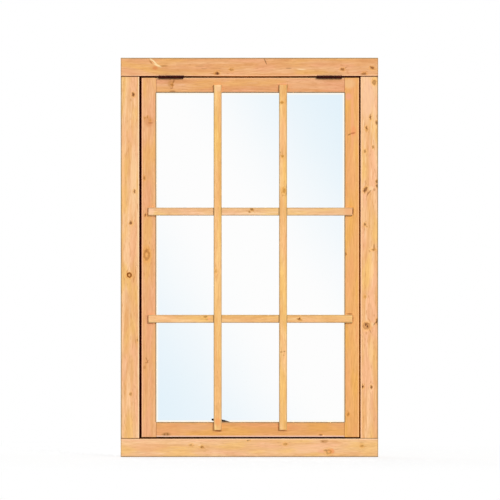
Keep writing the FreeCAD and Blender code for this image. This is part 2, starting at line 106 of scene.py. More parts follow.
# %% A socket that does sums
class Value:
    """A shader socket: each operator adds the Math node that it stands for."""

    def __init__(self, nodes, socket):
        self.nodes = nodes
        self.socket = socket

    def other(self, output):
        """Another output of the same node."""
        return Value(self.nodes, self.socket.node.outputs[output])

    def __add__(self, number):
        return self.nodes.maths("ADD", self, number)

    def __radd__(self, number):
        return self.nodes.maths("ADD", number, self)

    def __sub__(self, number):
        return self.nodes.maths("SUBTRACT", self, number)

    def __rsub__(self, number):
        return self.nodes.maths("SUBTRACT", number, self)

    def __mul__(self, number):
        return self.nodes.maths("MULTIPLY", self, number)

    def __rmul__(self, number):
        return self.nodes.maths("MULTIPLY", number, self)

    def __truediv__(self, number):
        return self.nodes.maths("DIVIDE", self, number)

    def __pow__(self, number):
        return self.nodes.maths("POWER", self, number)

    def __abs__(self):
        return self.nodes.maths("ABSOLUTE", self)


# %% [markdown]
# Every other node comes from one method, which sets the node up first and then fills its sockets
# with plain values or links. The methods after it are short names for the nodes that these
# finishes use most. A Math node would turn a colour grey, so colours are blended with Mix.

# %% One way to add a node
class Nodes:
    """The node tree of one finish."""

    def __init__(self, tree):
        self.tree = tree
        tree.nodes.clear()

    def add(self, kind, settings, sockets, output=0):
        node = self.tree.nodes.new(kind)
        for name, setting in settings.items():
            setattr(node, name, setting)
        for name, value in sockets.items():
            if isinstance(value, Value):
                self.tree.links.new(value.socket, node.inputs[name])
            else:
                node.inputs[name].default_value = value
        return Value(self, node.outputs[output]) if node.outputs else None

    def maths(self, operation, first, second=0.0):
        return self.add("ShaderNodeMath", {"operation": operation}, {0: first, 1: second})

    def smooth(self, value, start, end):
        """0 at start, 1 at end, with a soft curve between them."""
        ends = {"Value": value, "From Min": start, "From Max": end}
        return self.add("ShaderNodeMapRange", {"interpolation_type": "SMOOTHSTEP"}, ends)

    def mix(self, share, first, second):
        """The first colour where the share is 0, the second where it is 1."""
        return self.add("ShaderNodeMix", {"data_type": "RGBA"}, {0: share, 6: first, 7: second}, 2)

    def noise(self, point, stretch, seed, detail=2.0):
        """Cloudy noise, with that many patches a metre along each direction."""
        moved = {"Vector": point, "Location": (seed, seed * 1.7, seed * 0.6), "Scale": stretch}
        spread = self.add("ShaderNodeMapping", {}, moved)
        return self.add("ShaderNodeTexNoise", {}, {"Vector": spread, "Scale": 1.0, "Detail": detail})

    def part(self, vector, axis):
        """The X, Y or Z of a vector."""
        return self.add("ShaderNodeSeparateXYZ", {}, {0: vector}, axis)

    def vectors(self, operation, first, second=(0, 0, 0), output=0):
        sockets = {0: first, 1: second}
        return self.add("ShaderNodeVectorMath", {"operation": operation}, sockets, output)

    def here(self):
        """The point that is being shaded, in the window's own metres."""
        return self.add("ShaderNodeTexCoord", {}, {}, "Object")

    def bump(self, height, strength, distance):
        relief = {"Strength": strength, "Distance": distance, "Height": height}
        return self.add("ShaderNodeBump", {}, relief)

    def principled(self, sockets):
        return self.add("ShaderNodeBsdfPrincipled", {}, sockets)

    def surface(self, shader):
        self.add("ShaderNodeOutputMaterial", {}, {0: shader})


print("short names for nodes:", [name for name in vars(Nodes) if not name.startswith("_")])

# %% [markdown]
# Colours are written the way a painter's colour card writes them, in hex, and turned into the
# linear light that a node works in. A finish starts as an empty node tree, and goes onto every
# solid whose name starts with the same words.

# %% Colours and new finishes
def linear(code):
    """A colour such as E9AE76, turned into the light that a node needs."""
    parts = [int(code[start:start + 2], 16) / 255 for start in (0, 2, 4)]
    bent = [part / 12.92 if part < 0.04045 else ((part + 0.055) / 1.055) ** 2.4 for part in parts]
    return (*bent, 1.0)


def tinted(colour, red, green, blue):
    return (*[min(part * by, 1.0) for part, by in zip(colour, (red, green, blue))], 1.0)


def new_finish(name):
    material = bpy.data.materials.new(name)
    material.use_nodes = True
    return material, Nodes(material.node_tree)


def dress(start, material):
    """Gives each solid whose name starts so its finish, and counts them."""
    meshes = [solid.data for name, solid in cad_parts.items() if name.startswith(start)]
    for mesh in meshes:
        mesh.materials.clear()
        mesh.materials.append(material)
    return len(meshes)


print("pine in linear light:", [round(part, 3) for part in linear("F1BA83")])

# %% [markdown]
# ## White surroundings and soft light
#
# The photograph is cut out on white. Turning the lamps up until everything burns out would also
# bleach the timber, so the white comes from the world itself: rays that the camera sends, and
# those that pass through glass or bounce off gloss, find plain white, while the light that falls
# on the window stays at an ordinary level.

# %% The world
WHITE = (1, 1, 1, 1)
AMBIENT_STRENGTH = 0.53


def finds_white(nodes):
    """1 for rays from the camera, and 1 for all the rays that find plain white."""
    from_camera = nodes.add("ShaderNodeLightPath", {}, {}, "Is Camera Ray")
    bounced = from_camera.other("Is Glossy Ray")
    passed = from_camera.other("Is Transmission Ray")
    return from_camera, nodes.maths("MINIMUM", from_camera + bounced + passed, 1.0)


world = bpy.data.worlds.new("white_studio")
world.use_nodes = True
bpy.context.scene.world = world
sky = Nodes(world.node_tree)
ambient = sky.add("ShaderNodeBackground", {}, {"Color": WHITE, "Strength": AMBIENT_STRENGTH})
backdrop = sky.add("ShaderNodeBackground", {}, {"Color": WHITE, "Strength": 1.0})
surroundings = {0: finds_white(sky)[1], 1: ambient, 2: backdrop}
sky.add("ShaderNodeOutputWorld", {}, {0: sky.add("ShaderNodeMixShader", {}, surroundings)})
print("ambient light:", AMBIENT_STRENGTH)

# %% [markdown]
# In the photograph thin shadows lie below the ends of the bars and to their left, so the main
# light comes from the upper right. A lamp close by would make the head brighter than the sill.
# A distant lamp lights the whole window alike, and its wide angle keeps the shadows soft. Its
# strength is worked out from the share of full light that an upright face should get.

# %% The key lamp
KEY_SHARE = 0.52
KEY_TRAVEL = Vector((-0.5, 1.0, -0.48))
KEY_SOFTNESS = math.radians(12)


def distant_lamp(name, share, travel, softness):
    """A far lamp that shines along a direction and gives an upright face its share of light."""
    direction = travel.normalized()
    lamp = bpy.data.lights.new(name, "SUN")
    lamp.angle = softness
    lamp.energy = share * math.pi / abs(direction.y)
    placed(name, lamp).rotation_euler = direction.to_track_quat("-Z", "Y").to_euler()
    print(name, "strength:", round(lamp.energy, 2))


distant_lamp("key_light", KEY_SHARE, KEY_TRAVEL, KEY_SOFTNESS)

# %% [markdown]
# The inside of the window lies in its own shade. A weaker and softer lamp behind it keeps the
# stay, the beads and the back of the frame readable, and hardly touches the outside.

# %% The fill lamp
FILL_SHARE = 0.30
FILL_TRAVEL = Vector((0.45, -1.0, -0.75))
FILL_SOFTNESS = math.radians(50)

distant_lamp("fill_light", FILL_SHARE, FILL_TRAVEL, FILL_SOFTNESS)

# %% [markdown]
# ## The floor
#
# The window stands on its sill, so it needs something to stand on. The floor is a white disc.
# The camera sees it partly as plain white and partly as lit paint, so that the soft shadow at the
# foot of the window still shows. Towards its rim the paint gives way to plain white, so no edge
# shows. A white floor would also throw light up at the sill and leave the head darker, so the
# light that bounces off it is that of a grey one.

# %% The floor disc
FLOOR_RADIUS = 4.0
SHADOW_SHARE = 0.25
SHADOW_FADE = (1.6, 0.4)
WHITE_PAINT = (0.95, 0.95, 0.95, 1)
GREY_BOUNCE = (0.5, 0.5, 0.5, 1)


def floor_paint():
    material, nodes = new_finish("floor_paint")
    from_camera, white_rays = finds_white(nodes)
    from_middle = nodes.vectors("LENGTH", nodes.here(), output="Value")
    plain = white_rays * (1 - SHADOW_SHARE * nodes.smooth(from_middle, *SHADOW_FADE))
    painted = {"Color": nodes.mix(from_camera, GREY_BOUNCE, WHITE_PAINT)}
    paint = nodes.add("ShaderNodeBsdfDiffuse", {}, painted)
    glow = nodes.add("ShaderNodeEmission", {}, {"Color": WHITE, "Strength": 1.0})
    nodes.surface(nodes.add("ShaderNodeMixShader", {}, {0: plain, 1: paint, 2: glow}))
    return material


def mesh_from(shape, name):
    """A mesh with the faces of a shape that is ready."""
    mesh = bpy.data.meshes.new(name)
    shape.to_mesh(mesh)
    shape.free()
    return mesh


disc = bmesh.new()
bmesh.ops.create_circle(disc, cap_ends=True, segments=96, radius=FLOOR_RADIUS)
floor = placed("floor", mesh_from(disc, "floor"))
floor.data.materials.append(floor_paint())
print("floor radius:", FLOOR_RADIUS)

# %% [markdown]
# ## How pine looks
#
# Pine has soft bands of cream, yellow and pinkish orange along the grain, finer lines where it
# cuts the yearly rings, short dark flecks, and small brown knots that the grain flows around.
# A picture of a plank would stretch over the edges, so the timber is worked out as a solid: each
# point asks how far it lies along, across and into its own board. The grain then runs the right
# way on the faces, and the ends show the rings.

# %% One board
MM = 0.001
ARRIS_DEPTH = 5 * MM


def middle_of(name):
    low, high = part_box(name)
    return (low + high) / 2


def face_edges(name, axis):
    """Where the front of a board starts and ends across its grain, arrises included."""
    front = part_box(name)[0].y + ARRIS_DEPTH / 2
    across = [v.co[axis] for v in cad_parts[name].data.vertices if v.co.y < front]
    return min(across), max(across)


class Board:
    """One board of the window, and how far a point lies along, across and into it, in metres."""

    def __init__(self, nodes, name):
        self.nodes = nodes
        self.low, self.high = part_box(name)
        self.upright = self.high.z - self.low.z > self.high.x - self.low.x
        self.edges = face_edges(name, 0 if self.upright else 2)
        self.ends = (self.low.z, self.high.z) if self.upright else (self.low.x, self.high.x)
        x = nodes.part(nodes.here(), "X")
        self.depth = x.other("Y")
        self.along, self.across = (x.other("Z"), x) if self.upright else (x, x.other("Z"))
        face = self.low.y
        self.near_face = nodes.smooth(self.depth, face + ARRIS_DEPTH, face + 0.6 * ARRIS_DEPTH)

    def point(self, along, across, depth):
        return self.nodes.add("ShaderNodeCombineXYZ", {}, {"X": along, "Y": across, "Z": depth})

    def spot(self, x, z):
        """A place in the window, as a place along and across the board."""
        return (z, x) if self.upright else (x, z)

    def oval(self, point, spot, half_widths, turn=0.0):
        """How far a point lies from the middle of an oval, in the oval's own radii."""
        shape = {
            "Vector": point,
            "Location": (spot[0] * MM, spot[1] * MM, 0),
            "Rotation": (0, 0, turn),
            "Scale": (half_widths[0] * MM, half_widths[1] * MM, 1),
        }
        scaled = self.nodes.add("ShaderNodeMapping", {"vector_type": "TEXTURE"}, shape)
        return self.nodes.vectors("LENGTH", scaled, output="Value")


print("face of the head:", [round(edge, 4) for edge in face_edges("frame_head", 2)])

# %% [markdown]
# A knot is the foot of a branch, and the grain parts around it like water around a post. Each
# knot is an oval, written as its place in the window, x and z in millimetres, its half length along
# the grain and half width across it, the darkness of its core and that of its ring of bark. Close
# to it the across measure is squeezed towards the knot's middle, which pushes the grain lines
# outwards. A true oval looks like a sticker, so noise frays it, and a thin crack runs out of the
# core. Two sines of the knot's place pick where the crack lies and how it leans.

# %% Knots and the grain around them
KNOT_PULL = 0.28
KNOT_FRAY = 10 * MM
BARK_RADIUS = 0.9
CRACK_LENGTH = 1.5
CRACK_LEAN = math.radians(28)
CRACK_DARKNESS = 0.55
FAR_FROM_KNOTS = 9.0


def knot_marks(board, straight, seed, knots):
    """The bent across measure, the nearest knot's distance in its radii, its core and its rim."""
    nodes = board.nodes
    frayed = nodes.noise(straight, (230, 190, 40), seed, 3.0) - 0.5
    torn = nodes.noise(straight, (180, 250, 40), seed + 5, 3.0) - 0.5
    flat = board.point(board.along + frayed * KNOT_FRAY, board.across + torn * KNOT_FRAY, 0.0)
    bent, nearest, core, rim = board.across, FAR_FROM_KNOTS, 0.0, 0.0
    for x, z, length, width, heart, bark in knots:
        along, across = board.spot(x, z)
        radii = board.oval(flat, (along, across), (length, width))
        pull = nodes.maths("EXPONENT", radii * radii * -KNOT_PULL)
        bent = bent + (across * MM - board.across) * pull
        nearest = nodes.maths("MINIMUM", nearest, radii)
        crack_spot = (along + length * math.sin(5.3 * x + 3.1 * z), across)
        crack_lean = CRACK_LEAN * math.sin(12.9 * x + 78.2 * z)
        crack_shape = (CRACK_LENGTH * length, 0.35 * width + 0.5)
        crack = board.oval(flat, crack_spot, crack_shape, crack_lean)
        core = nodes.maths("MAXIMUM", core, heart * nodes.smooth(radii, 1.0, 0.4))
        core = nodes.maths("MAXIMUM", core, CRACK_DARKNESS * heart * nodes.smooth(crack, 1.1, 0.5))
        ring = nodes.smooth(abs(radii - BARK_RADIUS), 0.5, 0.2)
        rim = nodes.maths("MAXIMUM", rim, bark * ring)
    return bent, nearest, core, rim


print("knots fray by up to", round(KNOT_FRAY / 2 / MM), "mm")

# %% [markdown]
# The yearly rings are circles around the heart of the tree, which lies somewhere behind the
# board. Noise makes the heart wander along the board, so the rings meet the face in long tongues
# instead of ruled lines. Late wood is the thin dark side of each ring. On a sawn end the same
# circles show as arcs, drawn wider there so that they stay readable.

# %% Yearly rings
RING_WIDTH = 3.4 * MM
END_RING_WIDTH = 8 * MM
SWAY_REACH = 20 * MM
SWELL_REACH = 26 * MM


def late_wood(board, grain, bent, seed, heart, figure):
    """1 on the dark side of a yearly ring, 0 on its pale side, for faces and for sawn ends."""
    nodes = board.nodes
    sway = nodes.noise(grain, (1.7, 6, 6), seed + 3)
    swell = nodes.noise(grain, (2.6, 9, 9), seed + 7)
    heart_across = sum(board.edges) / 2 + heart[0] * MM
    heart_depth = board.low.y + heart[1] * MM
    sideways = bent - heart_across + (sway - 0.5) * (SWAY_REACH * figure)
    behind = board.depth - heart_depth + (swell - 0.5) * (SWELL_REACH * figure)
    radius = (sideways * sideways + behind * behind) ** 0.5
    ring = nodes.maths("FRACT", radius / RING_WIDTH)
    end_ring = nodes.maths("FRACT", radius / END_RING_WIDTH)
    late = nodes.smooth(ring, 0.25, 0.9) * nodes.smooth(ring, 1.0, 0.93)
    return late, nodes.smooth(end_ring, 0.2, 0.9)


print("yearly rings of", round(RING_WIDTH / MM, 1), "mm")

# %% [markdown]
# Light and shade are painted along the arrises. Beside the gap around the sash the face carries a
# painted highlight, the arris painted light and shade, and the gap itself painted shade that is not
# the same all along. So a gap is written as the colour of its painted highlight, three colours each
# for the painted shading of its arris and of the gap, from the low end of the board over its middle
# to the high end, and how far each shading reaches onto the face, in millimetres. Towards the weather
# and the glass the arrises hold a thin brown line of painted shade.

# %% Edges and gaps
EDGE_REACH = 4.2 * MM
SASH_DEPTH = 40 * MM
EDGE_HIGHLIGHT_LINE = (-5.0 * MM, -3.6 * MM)
# Both arris lines are painted shade: the stronger one on frame and sash, the fainter one on the eased
# arrises of bars and beads.
ARRIS_LINES = {"weather": ("8A7550", 0.85), "eased": ("9E885C", 0.5)}


def line_at(nodes, measure, place, reach):
    """1 on a line across the board or along it, 0 beyond its reach."""
    return nodes.smooth(abs(measure - place), reach, reach * 0.25)


def colour_along(board, codes):
    """Three colours, one after the other from the low end of a board to its high end."""
    nodes = board.nodes
    start, end = board.ends
    share = (board.along - start) / (end - start)
    first, middle, last = [linear(code) for code in codes]
    lower_half = nodes.mix(nodes.smooth(share, 0.1, 0.5), first, middle)
    return nodes.mix(nodes.smooth(share, 0.5, 0.9), lower_half, last)


def gap_marks(board, colour, beyond, gap):
    """Adds a painted highlight beside the gap around the sash, painted light and shade on its arris, and
    painted shade in the gap.
    """
    nodes = board.nodes
    stop = board.low.y + SASH_DEPTH
    in_gap = nodes.smooth(board.depth, stop + 2 * MM, stop + 1 * MM)
    stain_from, dirt_from = [-reach * MM for reach in gap["reach"]]
    rubbed = nodes.smooth(beyond, *EDGE_HIGHLIGHT_LINE) * board.near_face
    stained = nodes.smooth(beyond, stain_from, stain_from + 0.8 * MM) * board.near_face
    dirty = nodes.smooth(beyond, dirt_from, dirt_from + 0.6 * MM) * in_gap
    colour = nodes.mix(rubbed, colour, linear(gap["rubbed"]))
    colour = nodes.mix(stained, colour, colour_along(board, gap["stain"]))
    return nodes.mix(dirty, colour, colour_along(board, gap["dirt"]))


def edge_marks(board, colour, edge, span, code, share):
    """Adds a thin line of painted shade along an arris, over a span of the board."""
    nodes = board.nodes
    reach = (span[1] - span[0]) / 2
    from_middle = abs(board.along - sum(span) / 2)
    within = nodes.smooth(from_middle, reach + 1 * MM, reach)
    shaded_arris = line_at(nodes, board.across, edge, EDGE_REACH) * board.near_face * within * share
    return nodes.mix(shaded_arris, colour, linear(code))


print("arris lines reach", round(EDGE_REACH / MM, 1), "mm")

# %% [markdown]
# Knots and marks belong on the faces. On the narrow sides they would stretch into lines, so the
# direction that the surface looks in holds them back there. Some marks lie on the outer face
# only, and others, such as the brads of the beads, on the inner one.

# %% Where marks may lie
FACE_TURN = (0.4, 0.7)


def face_masks(board):
    """1 where the surface looks outwards or inwards, and 1 on the outer half of the board."""
    nodes = board.nodes
    looks = nodes.add("ShaderNodeTexCoord", {}, {}, "Normal")
    outwards = nodes.part(looks, "Y")
    on_face = nodes.smooth(abs(outwards), *FACE_TURN)
    middle = (board.low.y + board.high.y) / 2
    return on_face, nodes.smooth(board.depth, middle + 1 * MM, middle - 1 * MM)


print("marks fade from a turn of", round(math.degrees(math.acos(FACE_TURN[1]))), "degrees on")

# %% [markdown]
# Some boards carry marks of their own, such as the pale scar of a branch that was sawn
# lengthwise, and a few at the ends of the bars are painted shade and painted highlights. Each
# mark is an oval, written as its place in the window, x and z in millimetres, two half widths, a
# turn in degrees, a colour and its share. Fibres break up its outline, so it looks grown and not
# painted.

# %% Single marks
MARK_FADE = (1.25, 0.5)
MARK_FRAY = 4 * MM


def single_marks(board, colour, fibres, marks, shown):
    """Adds the marks of a board where they are shown."""
    nodes = board.nodes
    flat = board.point(board.along, board.across + (fibres - 0.5) * MARK_FRAY, 0.0)
    for x, z, length, width, degrees, code, share in marks:
        radii = board.oval(flat, board.spot(x, z), (length, width), math.radians(degrees))
        colour = nodes.mix(share * shown * nodes.smooth(radii, *MARK_FADE), colour, linear(code))
    return colour


print("marks end at", MARK_FADE[0], "radii")

# %% [markdown]
# Clear pine is built up from broad to fine, as a painter would: pale and deep bands, then yellow
# and pink patches, pale wisps, the late wood, the fibres, and last the short brown dashes, which
# crowd together near a knot. Each layer is a tint of the board's own tone, so one colour is
# enough to set a board.

# %% The colours of clear pine
BROWN_TINT = (0.66, 0.48, 0.30)


def pine_colour(nodes, grain, seed, tone, streaks, mottle, late, fibres, nearest):
    """The colour of a board without its knots, marks and edges."""
    pine = linear(tone)
    brown = tinted(pine, *BROWN_TINT)
    deep = tinted(pine, 1 - 0.06 * streaks, 1 - 0.14 * streaks, 1 - 0.26 * streaks)
    pale = tinted(pine, 1 + 0.07 * streaks, 1 + 0.15 * streaks, 1 + 0.30 * streaks)
    yellow = tinted(pine, 1.01, 1.04, 0.70)
    pink = tinted(pine, 1.03, 0.95, 1.12)
    cream = tinted(pine, 1.10, 1.24, 1.50)
    bands = nodes.noise(grain, (3.0, 62, 45), seed + 11, 3.0)
    patches = nodes.noise(grain, (7, 30, 24), seed + 17, 1.0)
    wisps = nodes.noise(grain, (14, 210, 150), seed + 19, 2.0)
    dashes = nodes.noise(grain, (55, 290, 210), seed + 29, 1.0)
    near_knot = nodes.smooth(nearest, 6.0, 2.0)
    colour = nodes.mix(nodes.smooth(bands, 0.38, 0.62), deep, pale)
    colour = nodes.mix(nodes.smooth(patches, 0.50, 0.34) * mottle, colour, yellow)
    colour = nodes.mix(nodes.smooth(patches, 0.52, 0.66) * mottle, colour, pink)
    colour = nodes.mix(nodes.smooth(wisps, 0.54, 0.70) * (0.6 * streaks), colour, cream)
    colour = nodes.mix(late * (0.22 * streaks), colour, brown)
    colour = nodes.mix(nodes.smooth(fibres, 0.60, 0.40) * 0.26, colour, brown)
    dashed = nodes.smooth(dashes, 0.58, 0.72) * (near_knot * 0.4 + 0.4 * streaks)
    return nodes.mix(dashed, colour, brown)


print("brown tint of pine:", BROWN_TINT)

# %% [markdown]
# A knot has a yellow halo, a ring of bark and a dark core. Where two boards meet, the joint shows
# as a thin dark line. A sawn end shows the yearly rings as arcs, and it drinks in more oil, so it
# is darker than the face.

# %% Knots, joints and ends
JOINT_REACH = 2.6 * MM
END_LINE_REACH = 3.4 * MM
END_LINE_SHARE = 0.7
END_GRAIN = 0.8 * MM
BARK_BROWN = linear("8E4800")
CORE_BROWN = linear("5C2400")
JOINT_BROWN = linear("5A3010")


def with_knots(nodes, colour, tone, nearest, rim, core, on_face):
    halo = tinted(linear(tone), 0.97, 0.82, 0.36)
    colour = nodes.mix(nodes.smooth(nearest, 2.6, 1.1) * on_face * 0.5, colour, halo)
    colour = nodes.mix(rim * on_face, colour, BARK_BROWN)
    return nodes.mix(core * on_face, colour, CORE_BROWN)


def with_joints(board, colour, joints):
    nodes = board.nodes
    for joint, share in joints:
        dark = line_at(nodes, board.along, joint, JOINT_REACH) * share
        colour = nodes.mix(dark, colour, JOINT_BROWN)
    return colour


def with_ends(board, colour, tone, end_late, lined):
    """Adds the sawn ends, and beside them a line of painted arris shade where one is wanted."""
    nodes = board.nodes
    early_wood = tinted(linear(tone), 0.90, 0.78, 0.62)
    sawn_end = nodes.mix(end_late, early_wood, tinted(linear(tone), 0.62, 0.44, 0.28))
    for end in board.ends:
        if lined:
            weathered = line_at(nodes, board.along, end, END_LINE_REACH) * lined * END_LINE_SHARE
            colour = nodes.mix(weathered, colour, linear(ARRIS_LINES["weather"][0]))
        colour = nodes.mix(line_at(nodes, board.along, end, END_GRAIN), colour, sawn_end)
    return colour


print("sawn ends go", round(END_GRAIN / MM, 1), "mm deep")

# %% [markdown]
# The timber recipe puts these layers over each other. A board is set by its tone, by a seed that
# no other board has, and by where the heart of the tree lies from the middle of its front, across
# and into the board, in millimetres. Its look is three numbers: how far the rings wander, how
# strong the streaks are, and how much yellow and pink there is. Only base colour, roughness and a
# fine bump change over the surface. The bump follows straight fibres, without the bend around the
# knots, because a bump asks for its height three times.

# %% Build a timber finish
FIBRES = (34, 520, 380)
BAR_LOOK = (1.0, 0.8, 0.6)


def timber(
    name, tone, seed, heart, knots, marks=(), look=BAR_LOOK, edges=("eased", "eased"), gap=None,
    edge_span=None, joints=(), end_lines=False, marked_inside=False,
):
    """Pine for one board of the window."""
    figure, streaks, mottle = look
    material, nodes = new_finish("pine_" + name)
    board = Board(nodes, name)
    straight = board.point(board.along, board.across, board.depth)
    bent, nearest, core, rim = knot_marks(board, straight, seed, knots)
    grain = board.point(board.along, bent, board.depth)
    late, end_late = late_wood(board, grain, bent, seed, heart, figure)
    fibres = nodes.noise(grain, FIBRES, seed + 23, 3.0)
    on_face, outer_half = face_masks(board)
    marked = on_face * (1 - outer_half if marked_inside else outer_half)

    colour = pine_colour(nodes, grain, seed, tone, streaks, mottle, late, fibres, nearest)
    colour = single_marks(board, colour, fibres, marks, marked)
    colour = with_knots(nodes, colour, tone, nearest, rim, core, on_face)
    for edge, kind, outwards in zip(board.edges, edges, (-1, 1)):
        if kind == "gap":
            colour = gap_marks(board, colour, (board.across - edge) * outwards, gap)
        else:
            colour = edge_marks(board, colour, edge, edge_span or board.ends, *ARRIS_LINES[kind])
    colour = with_joints(board, colour, joints)
    colour = with_ends(board, colour, tone, end_late, marked if end_lines else None)

    relief = nodes.noise(straight, FIBRES, seed + 23, 3.0)
    satin = {
        "Base Color": colour,
        "Roughness": 0.5 + fibres * 0.16 - core * 0.14,
        "Specular IOR Level": 0.15,
        "Normal": nodes.bump(relief, 0.15, 0.3 * MM),
    }
    nodes.surface(nodes.principled(satin))
    dress(name, material)
    print(name, "tone", tone, "knots", len(knots), "marks", len(marks))


# %% [markdown]
# ## The frame's timber
#
# The frame is head, sill and two jambs, tenoned together. Each board came out of its own tree,
# so each has its own tone, its own heart and its own knots. The places of knots and marks were
# read off the photograph. The head and the sill run through, so their sawn ends meet the
# weather.

# %% The head and the sill
HEAD_KNOTS = [
    (-97, 1155, 5.2, 4.6, 0.95, 0.5), (-54, 1166, 5, 3, 0.3, 0.3), (280, 1167, 5, 4, 0.6, 0.5),
    (346, 1153, 5, 5, 0.6, 0.5), (369, 1172, 5.5, 4, 0.75, 0.5),
]
HEAD_MARKS = [
    (-293, 1195, 12, 2.6, -38, "FADDA8", 0.8), (-284, 1187, 11, 2.4, -48, "FADDA8", 0.8),
    (-276, 1179, 13, 3.2, -22, "FBDDA6", 0.9), (-297, 1189, 9, 2.2, -48, "B5763C", 0.75),
    (-258, 1177, 14, 2.2, 0, "A86A30", 0.6), (-284, 1171, 9, 6, 0, "D88048", 0.7),
    (-150, 1177, 14, 1.8, 0, "A86C34", 0.5), (-136, 1169, 10, 1.6, 0, "A86C34", 0.5),
    (118, 1170, 10, 1.8, 0, "A06430", 0.55), (48, 1191, 11, 1.8, -65, "7A4A20", 0.7),
    (157, 1167, 14, 2, 0, "FAD8AC", 0.7), (288, 1171, 8, 1.5, 28, "A8682F", 0.55),
]
SILL_KNOTS = [
    (-176, 37, 4, 3, 0.3, 0.3), (-144, 30, 4.5, 3.5, 0.7, 0.4), (-3, 51, 4, 3, 0.6, 0.4),
    (107, 39, 4.5, 3.5, 0.3, 0.3), (230, 20, 4.5, 3, 0.45, 0.3), (239, 16, 6.5, 6, 0, 0.4),
    (339, 33, 4, 3.5, 0.35, 0.3),
]
SILL_MARKS = [
    (-300, 30, 60, 16, 0, "F0B080", 0.35), (190, 26, 60, 12, 0, "FAC69A", 0.5),
    (260, 44, 26, 5, -8, "E0A066", 0.4), (225, 48, 13, 7, 0, "C48A52", 0.75),
    (221, 47, 4, 3, 0, "9A6430", 0.5), (247, 18, 10, 8, 0, "EE9460", 0.8),
    (218, 18, 14, 6, 0, "F4B288", 0.7), (-150, 36, 5, 2, 0, "FBD9AE", 0.6),
]
# The pale colour beside each gap is a painted highlight; the colours on the arris and in the gap are
# painted light and shade.
HEAD_GAP = {
    "rubbed": "FCC292",
    "stain": ("5A0A00", "E68E48", "5A0A00"),
    "dirt": ("6A0400", "F0A860", "6A0600"),
    "reach": (2.2, 0.9),
}
SILL_GAP = {
    "rubbed": "F9CC9E",
    "stain": ("92591A", "F6CDA0", "F6CDA0"),
    "dirt": ("7A3E00", "480000", "480000"),
    "reach": (1.9, 0.9),
}

timber(
    "frame_head", "EDB27B", 1.3, (12, 60), HEAD_KNOTS, HEAD_MARKS,
    look=(1.4, 0.8, 0.7), edges=("gap", "weather"), gap=HEAD_GAP, end_lines=True,
)
timber(
    "frame_sill", "F5C48F", 2.9, (-9, 55), SILL_KNOTS, SILL_MARKS,
    look=(2.0, 0.6, 0.65), edges=("weather", "gap"), gap=SILL_GAP, end_lines=True,
)

# %% [markdown]
# The jambs stand between head and sill, so their ends show as two joints. The right one has by
# far the most knots, some in pairs with a crack between them. The gap beside it is narrow, and
# its painted light and shade are paler than those on the left, as the light comes from the right.

# %% The jambs
LEFT_JAMB_KNOTS = [
    (-350, 1091, 5, 4, 0.9, 0.5), (-346, 800, 4, 3, 0.7, 0.4), (-357, 704, 4, 4, 0.9, 0.5),
    (-362, 548, 6.5, 6, 0.15, 1), (-336, 352, 5, 2.5, 0.5, 0.3), (-358, 190, 4, 3, 0.35, 0.4),
]
LEFT_JAMB_MARKS = [(-349, 830, 120, 10, 0, "FFD8A8", 0.5), (-379, 860, 160, 5, 0, "F6B878", 0.5)]
RIGHT_JAMB_KNOTS = [
    (376, 1128, 6, 5, 0.4, 0.5), (364, 1022, 6, 2.5, 0.8, 0.4), (383, 1007, 5, 3.5, 0.7, 0.4),
    (352, 990, 4.5, 3, 0.85, 0.4), (354, 984, 3, 1.6, 0.5, 0.2), (372, 933, 4, 2.5, 0.45, 0.4),
    (348, 921, 4, 3, 0.5, 0.4), (347, 803, 5.5, 4, 1, 0.5), (352, 808, 5, 3, 0.8, 0.4),
    (383, 829, 4, 3, 0.6, 0.4), (384, 817, 5, 2.5, 0.8, 0.4), (348, 701, 4.5, 3, 0.75, 0.4),
    (353, 694, 3, 1.5, 0.4, 0.2), (374, 624, 2.5, 5.5, 0.6, 0.2), (348, 483, 3, 3, 0.3, 0.3),
    (350, 400, 5, 3.5, 1, 0.4), (355, 393, 6, 3.2, 1, 0.4), (352, 395, 9, 9, 0, 0.45),
    (384, 408, 7, 3, 1, 0.5), (341, 212, 4.5, 3.4, 1, 0.5), (367, 211, 4, 3, 0.8, 0.4),
]
RIGHT_JAMB_MARKS = [
    (366, 809, 7, 8, 0, "FFDCA8", 0.5), (361, 797, 10, 2, 40, "A06630", 0.7),
    (356, 793, 9, 1.8, 15, "A06630", 0.7), (376, 805, 5, 4, 0, "B87C40", 0.6),
    (375, 632, 11, 1.8, 0, "A87038", 0.7), (378, 403, 10, 2, 40, "8A5426", 0.75),
    (370, 399, 7, 5, 0, "FFDCA8", 0.5), (362, 383, 12, 2, -25, "A86830", 0.6),
    (368, 560, 30, 7, 0, "FFD08C", 0.5), (366, 318, 40, 6, 0, "FFD498", 0.45),
    (356, 1080, 80, 20, 0, "F7C6A4", 0.7),
]
# Painted highlight, and painted light and shade, beside the gaps at the jambs.
LEFT_JAMB_GAP = {
    "rubbed": "FCDAAE",
    "stain": ("A85414", "A85414", "A85414"),
    "dirt": ("6A0000", "6A0000", "701000"),
    "reach": (1.7, 0.9),
}
RIGHT_JAMB_GAP = {
    "rubbed": "FFCA9A",
    "stain": ("EAA050", "D88030", "480400"),
    "dirt": ("D88020", "B05A00", "480400"),
    "reach": (1.2, 0.5),
}
FRAME_FACE = 56 * MM
FRAME_JOINTS = ((cad_low.z + FRAME_FACE, 0.55), (cad_high.z - FRAME_FACE, 0.85))

timber(
    "frame_left_jamb", "F5C18A", 4.1, (-6, 70), LEFT_JAMB_KNOTS, LEFT_JAMB_MARKS,
    look=(0.8, 1.0, 0.8), edges=("weather", "gap"), gap=LEFT_JAMB_GAP, joints=FRAME_JOINTS,
)
timber(
    "frame_right_jamb", "F8C48D", 5.7, (8, 50), RIGHT_JAMB_KNOTS, RIGHT_JAMB_MARKS,
    look=(0.9, 1.0, 0.8), edges=("gap", "weather"), gap=RIGHT_JAMB_GAP, joints=FRAME_JOINTS,
)
